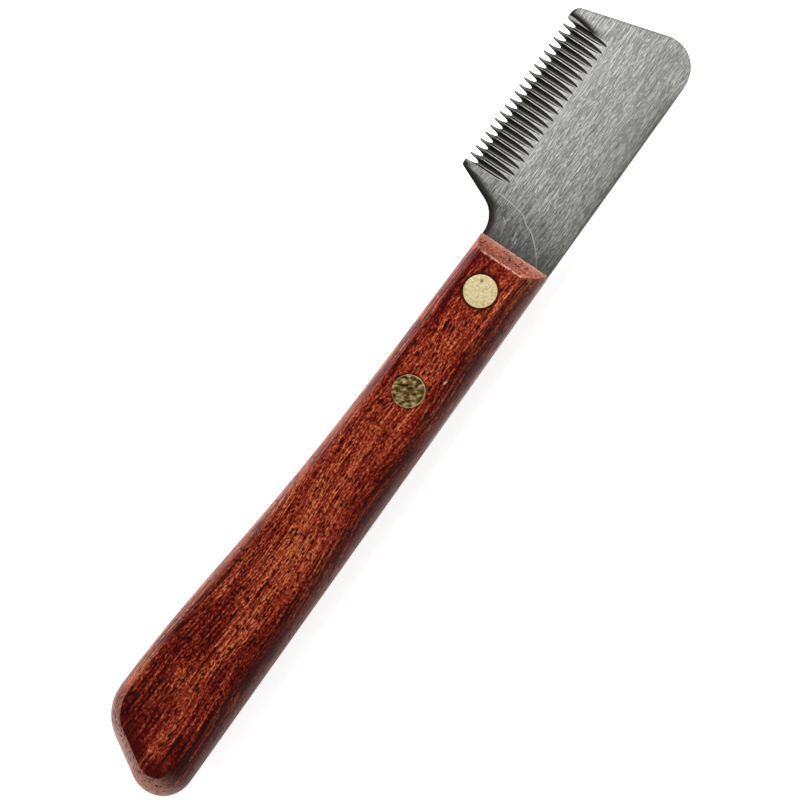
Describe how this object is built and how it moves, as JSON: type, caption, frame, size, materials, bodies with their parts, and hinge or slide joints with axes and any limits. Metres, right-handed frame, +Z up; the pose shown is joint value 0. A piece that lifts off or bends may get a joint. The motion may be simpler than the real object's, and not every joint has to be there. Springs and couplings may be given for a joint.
{
  "type": "coat stripping knife",
  "caption": "Flat grooming knife with a finely grooved comb edge, a finger notch and a riveted one-piece hardwood handle, for combing out and pulling dead coat hair.",
  "frame": {"origin": "middle of the bounding box, on the plane that the flat back of the handle rests on", "axes": "+X from the butt to the blade tip, +Y from the spine to the tooth tips, +Z up, out of the face that carries the grooves"},
  "size_m": [0.1702, 0.0259, 0.0125],
  "materials": {
    "blade_steel": "ground along the blade's length, with fine scratches",
    "handle_wood": "oiled red-brown rosewood with dark streaks and open pores",
    "rivet_brass": "ground flush with the wood, lightly tarnished"
  },
  "bodies": {
    "root": {"blade": "blade_steel", "handle": "handle_wood", "front_rivet_post": "rivet_brass", "front_rivet_tube": "rivet_brass", "rear_rivet_post": "rivet_brass", "rear_rivet_tube": "rivet_brass"}
  },
  "joints": []
}
